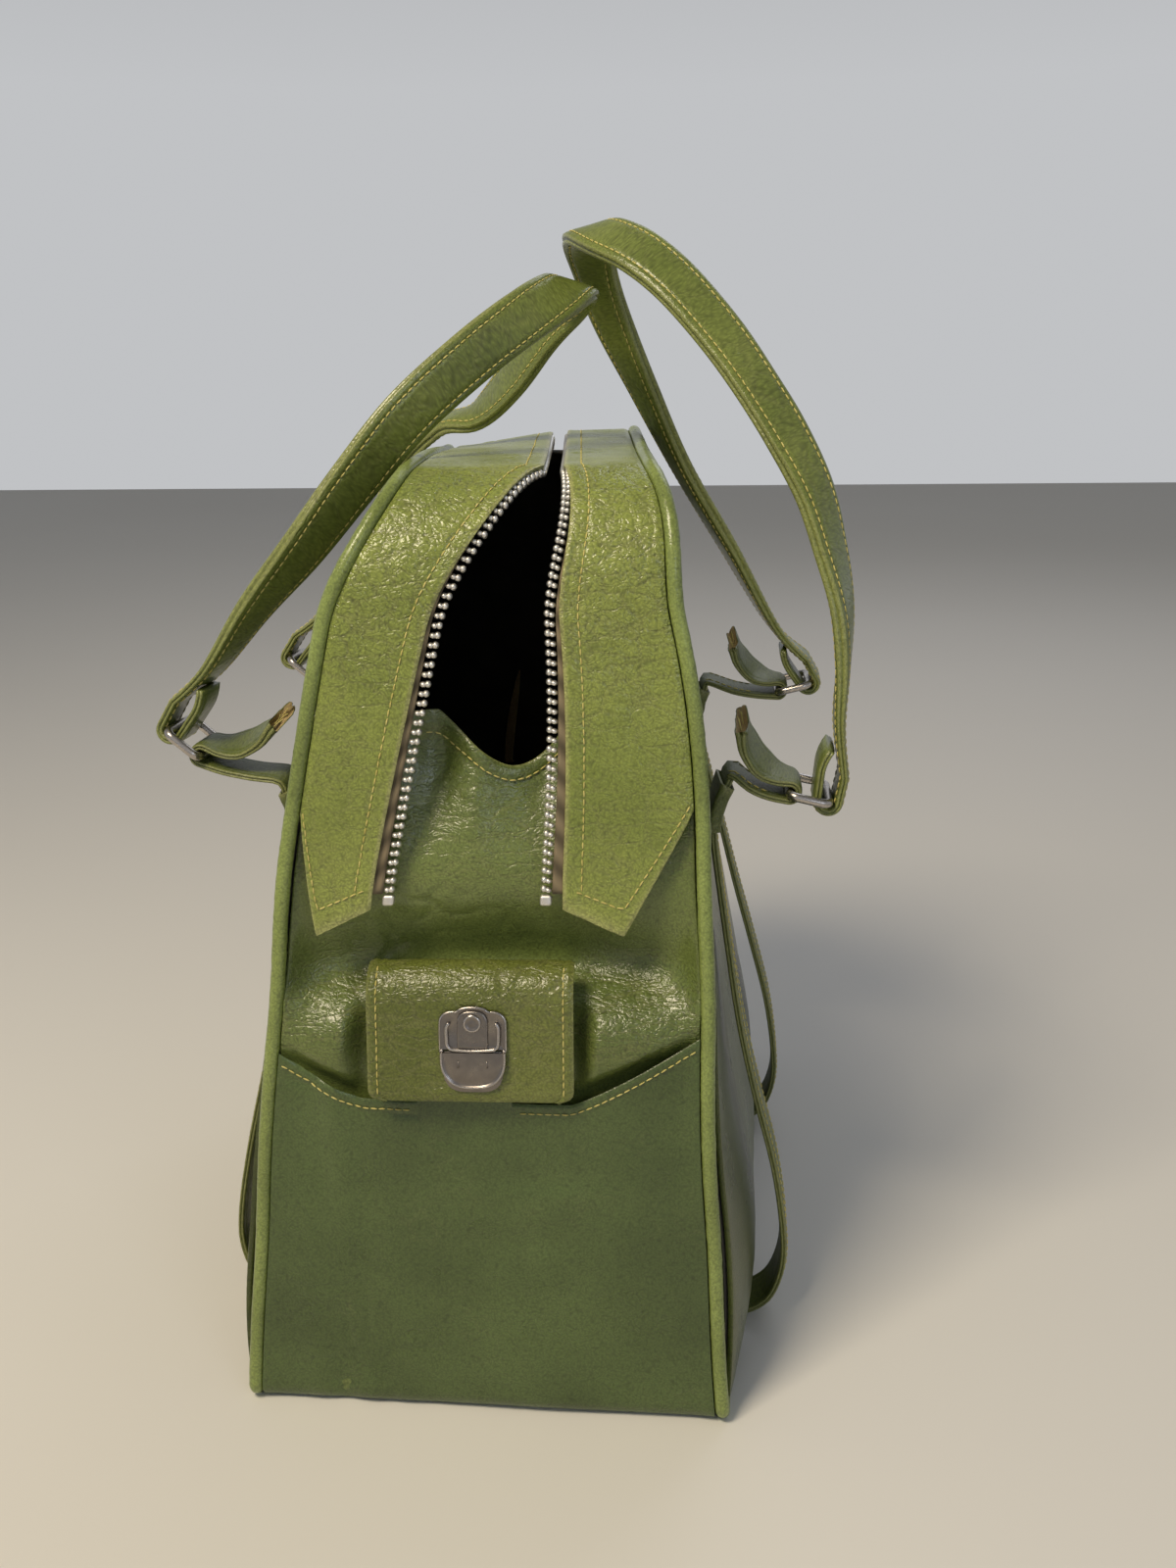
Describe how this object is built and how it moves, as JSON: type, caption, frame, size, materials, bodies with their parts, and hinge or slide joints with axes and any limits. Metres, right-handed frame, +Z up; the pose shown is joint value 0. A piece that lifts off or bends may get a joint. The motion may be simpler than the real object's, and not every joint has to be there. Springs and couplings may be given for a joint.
{
  "type": "ski boot bag",
  "caption": "Green vinyl ski boot bag with two strap handles on wire rings, a zip over the top and a flapped end pocket.",
  "frame": {"origin": "centre of the base panel, in the plane the bag stands on", "axes": "+Z up; the near end with the pocket faces -Y; +X is the right side seen from the pocket end"},
  "size_m": [0.2909, 0.3404, 0.4842],
  "materials": {
    "green_vinyl": "grained vinyl, semi-gloss",
    "ring_steel": "worn nickel plate",
    "latch_steel": "worn nickel plate",
    "zip_metal": "dull metal",
    "zip_tape": "woven",
    "lining": "matt black cloth",
    "board": "plain"
  },
  "bodies": {
    "bag": {"base_board": "board", "base_panel": "green_vinyl", "end_pocket": "green_vinyl", "far_end_panel": "green_vinyl", "keeper_left_far": "green_vinyl", "keeper_left_near": "green_vinyl", "keeper_right_far": "green_vinyl", "keeper_right_near": "green_vinyl", "latch_receiver": "latch_steel", "lining_far": "lining", "lining_left": "lining", "lining_right": "lining", "near_end_panel": "green_vinyl", "piping_left": "green_vinyl", "piping_right": "green_vinyl", "side_panel_left": "green_vinyl", "side_panel_right": "green_vinyl", "strap_left_far": "green_vinyl", "strap_left_near": "green_vinyl", "strap_right_far": "green_vinyl", "strap_right_near": "green_vinyl", "zip_band_left": "green_vinyl", "zip_band_right": "green_vinyl", "zip_chain_left": "zip_metal", "zip_chain_right": "zip_metal", "zip_stop_left": "zip_metal", "zip_stop_right": "zip_metal", "zip_tape_left": "zip_tape", "zip_tape_right": "zip_tape"},
    "ring_right_near": {"ring_right_near": "ring_steel"},
    "ring_right_far": {"ring_right_far": "ring_steel"},
    "ring_left_near": {"ring_left_near": "ring_steel"},
    "ring_left_far": {"ring_left_far": "ring_steel"},
    "handle_right": {"handle_right": "green_vinyl"},
    "handle_left": {"handle_left": "green_vinyl"},
    "flap": {"pocket_flap": "green_vinyl", "latch_plate": "latch_steel", "latch_sill": "latch_steel", "latch_tongue": "latch_steel", "latch_back_plate": "latch_steel"},
    "thumb": {"latch_thumb": "latch_steel"},
    "slider": {"zip_slider": "zip_metal", "zip_bail": "zip_metal"},
    "pull": {"zip_pull": "zip_metal"}
  },
  "joints": [
    {"name": "ring_right_near_turn", "type": "hinge", "parent": "bag", "child": "ring_right_near", "pos_m": [0.124, -0.083, 0.2525], "axis": [0, 0.9999, 0.0142], "range_deg": [0, 40]},
    {"name": "ring_right_far_turn", "type": "hinge", "parent": "bag", "child": "ring_right_far", "pos_m": [0.124, 0.093, 0.255], "axis": [0, 0.9999, 0.0142], "range_deg": [0, 40]},
    {"name": "ring_left_near_turn", "type": "hinge", "parent": "bag", "child": "ring_left_near", "pos_m": [-0.122, -0.093, 0.268], "axis": [0, -0.9994, 0.0341], "range_deg": [0, 20]},
    {"name": "ring_left_far_turn", "type": "hinge", "parent": "bag", "child": "ring_left_far", "pos_m": [-0.122, 0.083, 0.262], "axis": [0, -0.9994, 0.0341], "range_deg": [0, 20]},
    {"name": "handle_right_swing", "type": "hinge", "parent": "ring_right_near", "child": "handle_right", "pos_m": [0.14008, -0.08295, 0.24879], "axis": [-0.0004, 0.9983, 0.0579], "range_deg": [0, 110]},
    {"name": "handle_left_swing", "type": "hinge", "parent": "ring_left_near", "child": "handle_left", "pos_m": [-0.13464, -0.09264, 0.2786], "axis": [0, -0.9994, 0.0341], "range_deg": [0, 55]},
    {"name": "pocket_flap_hinge", "type": "hinge", "parent": "bag", "child": "flap", "pos_m": [-0.0016, -0.156, 0.19548], "axis": [-0.9993, -0.0372, 0], "range_deg": [0, 110]},
    {"name": "latch_thumb_slide", "type": "slide", "parent": "flap", "child": "thumb", "axis": [0.0059, -0.1598, -0.9871], "range_m": [0, 0.003], "stiffness_N_per_m": 250, "springref_m": -0.002},
    {"name": "zip_slide", "type": "slide", "parent": "bag", "child": "slider", "axis": [-0.0752, -0.0877, 0.9933], "range_m": [0, 0.04]},
    {"name": "zip_pull_flip", "type": "hinge", "parent": "slider", "child": "pull", "pos_m": [-0.00127, 0.15164, 0.23607], "axis": [0.9952, 0.0561, 0.0803], "range_deg": [0, 150]}
  ],
  "couplings": [
    {"joint": "ring_right_far_turn", "follows": "ring_right_near_turn", "ratio": 1},
    {"joint": "ring_left_near_turn", "follows": "ring_right_near_turn", "ratio": 0.5},
    {"joint": "ring_left_far_turn", "follows": "ring_right_near_turn", "ratio": 0.5},
    {"joint": "handle_left_swing", "follows": "handle_right_swing", "ratio": 0.5}
  ]
}
